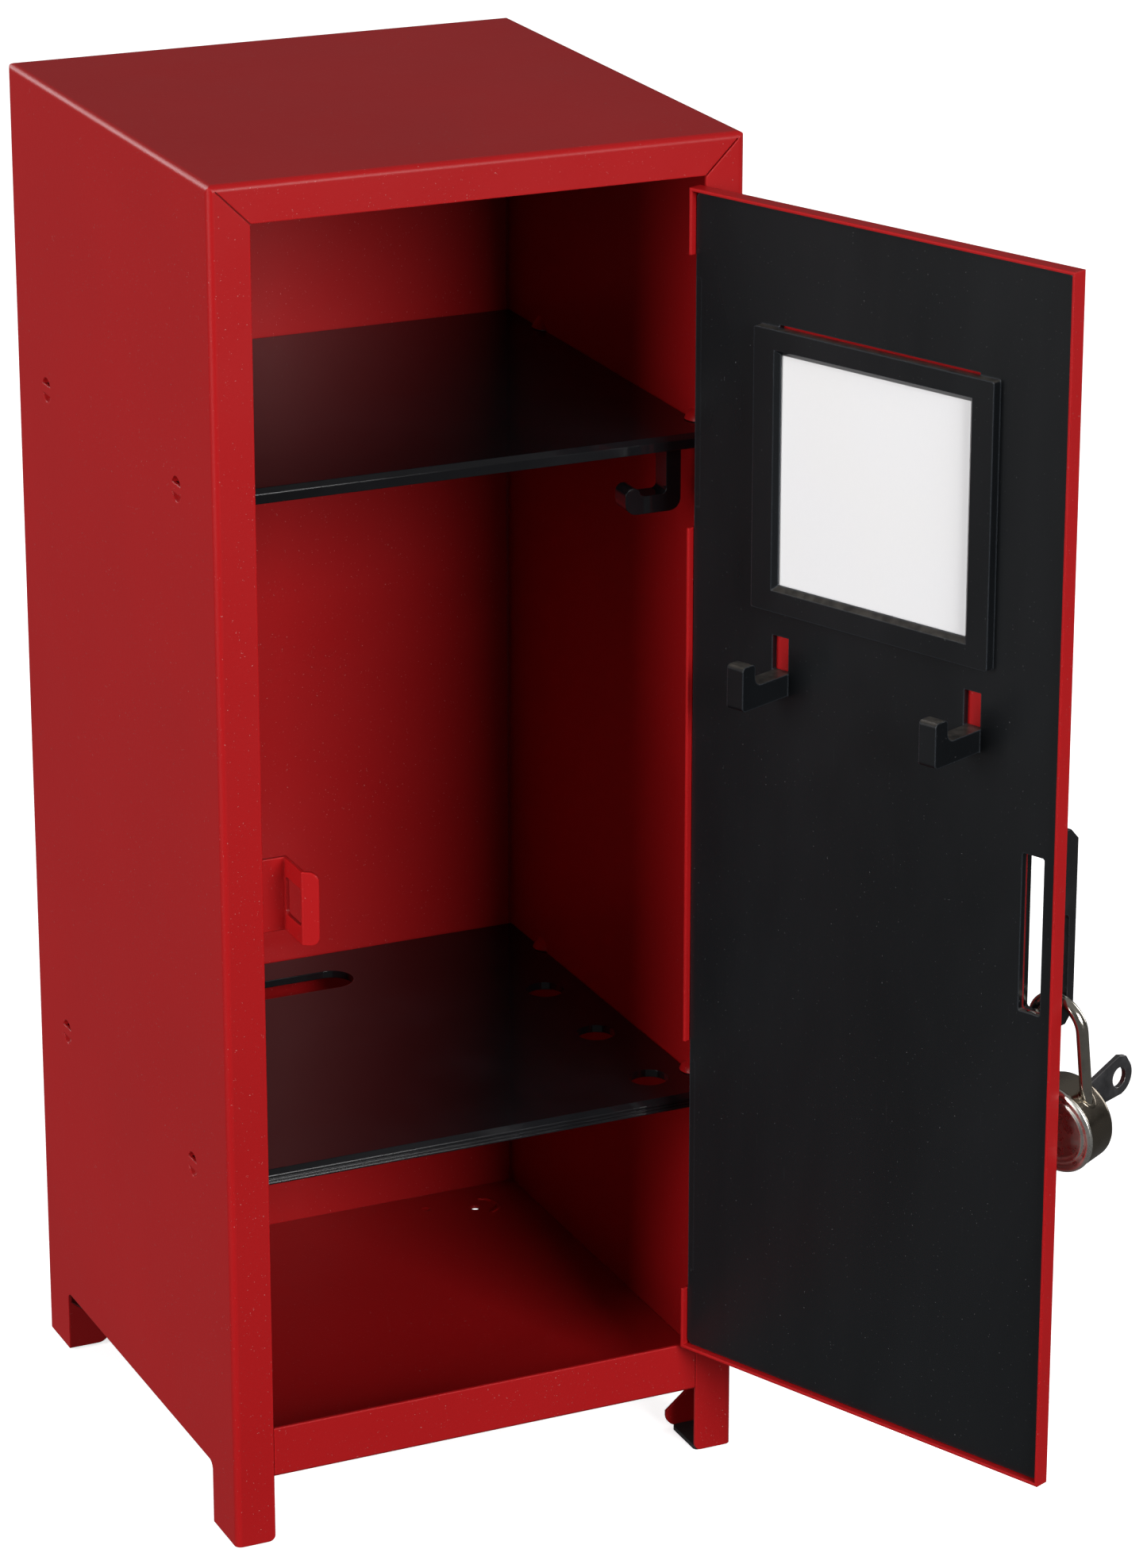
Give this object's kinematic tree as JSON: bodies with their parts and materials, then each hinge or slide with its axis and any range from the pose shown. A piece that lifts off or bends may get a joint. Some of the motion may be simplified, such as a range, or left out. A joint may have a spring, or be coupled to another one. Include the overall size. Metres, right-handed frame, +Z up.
{
  "type": "miniature locker",
  "caption": "Desk-size folded-steel locker with shelves, a hinged door with liner, picture pocket and hooks, and a small round padlock on its handle.",
  "frame": {"origin": "centre of the front left foot pad's underside", "axes": "+X to the right along the front, +Y to the back, +Z up; the door's hinges are on the right"},
  "size_m": [0.1783, 0.2245, 0.311],
  "materials": {
    "red_enamel": "satin red stoved enamel on folded steel sheet",
    "shelf_black": "glossy black moulded polystyrene",
    "liner_black": "satin black moulded plastic with a fine texture",
    "handle_black": "semi-gloss black moulded plastic",
    "foot_rubber": "matt black rubber",
    "card_white": "matt white card",
    "lock_chrome": "bright nickel-chrome plate",
    "lock_steel": "plain turned steel",
    "lock_brass": "machined brass",
    "key_steel": "dark gunmetal pressed steel"
  },
  "bodies": {
    "cabinet": {"cabinet_shell": "red_enamel", "back_panel": "red_enamel", "floor_panel": "red_enamel", "upper_shelf": "shelf_black", "lower_shelf": "shelf_black", "coat_hook": "shelf_black", "striker": "red_enamel", "foot_pads": "foot_rubber", "frame_hinge_leaves": "red_enamel", "hinge_pins": "lock_steel"},
    "door": {"door_skin": "red_enamel", "door_liner": "liner_black", "door_hinge_leaves": "red_enamel", "handle": "handle_black", "handle_retainers": "lock_steel"},
    "card": {"picture_card": "card_white"},
    "shackle": {"shackle": "lock_chrome"},
    "lock_body": {"padlock_shell": "lock_chrome", "padlock_core": "lock_steel", "padlock_rim": "lock_chrome", "padlock_disc": "lock_chrome", "bolt_spring": "lock_steel"},
    "plug": {"lock_plug": "lock_brass", "lock_wafers": "lock_brass"},
    "bolt": {"lock_bolt": "lock_steel"},
    "key": {"key": "key_steel"}
  },
  "joints": [
    {"name": "door_swing", "type": "hinge", "parent": "cabinet", "child": "door", "pos_m": [0.1061, -0.00895, 0.1645], "axis": [0, 0, 1], "range_deg": [-113.2, 36.8]},
    {"name": "card_lift", "type": "slide", "parent": "door", "child": "card", "axis": [0, 0, 1], "range_m": [0, 0.027]},
    {"name": "padlock_swing", "type": "hinge", "parent": "door", "child": "shackle", "pos_m": [0.14824, -0.09724, 0.14015], "axis": [0.3939, -0.9191, 0], "range_deg": [0, 80]},
    {"name": "lock_release", "type": "slide", "parent": "shackle", "child": "lock_body", "axis": [0.1279, 0.0548, -0.9903], "range_m": [0, 0.01]},
    {"name": "key_turn", "type": "hinge", "parent": "lock_body", "child": "plug", "pos_m": [0.15357, -0.09495, 0.11324], "axis": [-0.9102, -0.3901, -0.1392], "range_deg": [0, 90]},
    {"name": "bolt_throw", "type": "slide", "parent": "lock_body", "child": "bolt", "axis": [0.3939, -0.9191, 0], "range_m": [0, 0.00141]},
    {"name": "key_withdraw", "type": "slide", "parent": "plug", "child": "key", "axis": [0.9102, 0.3901, 0.1392], "range_m": [0, 0.0075]}
  ],
  "couplings": [
    {"joint": "key_turn", "follows": "bolt_throw", "rad_per_m": 1110.7}
  ]
}
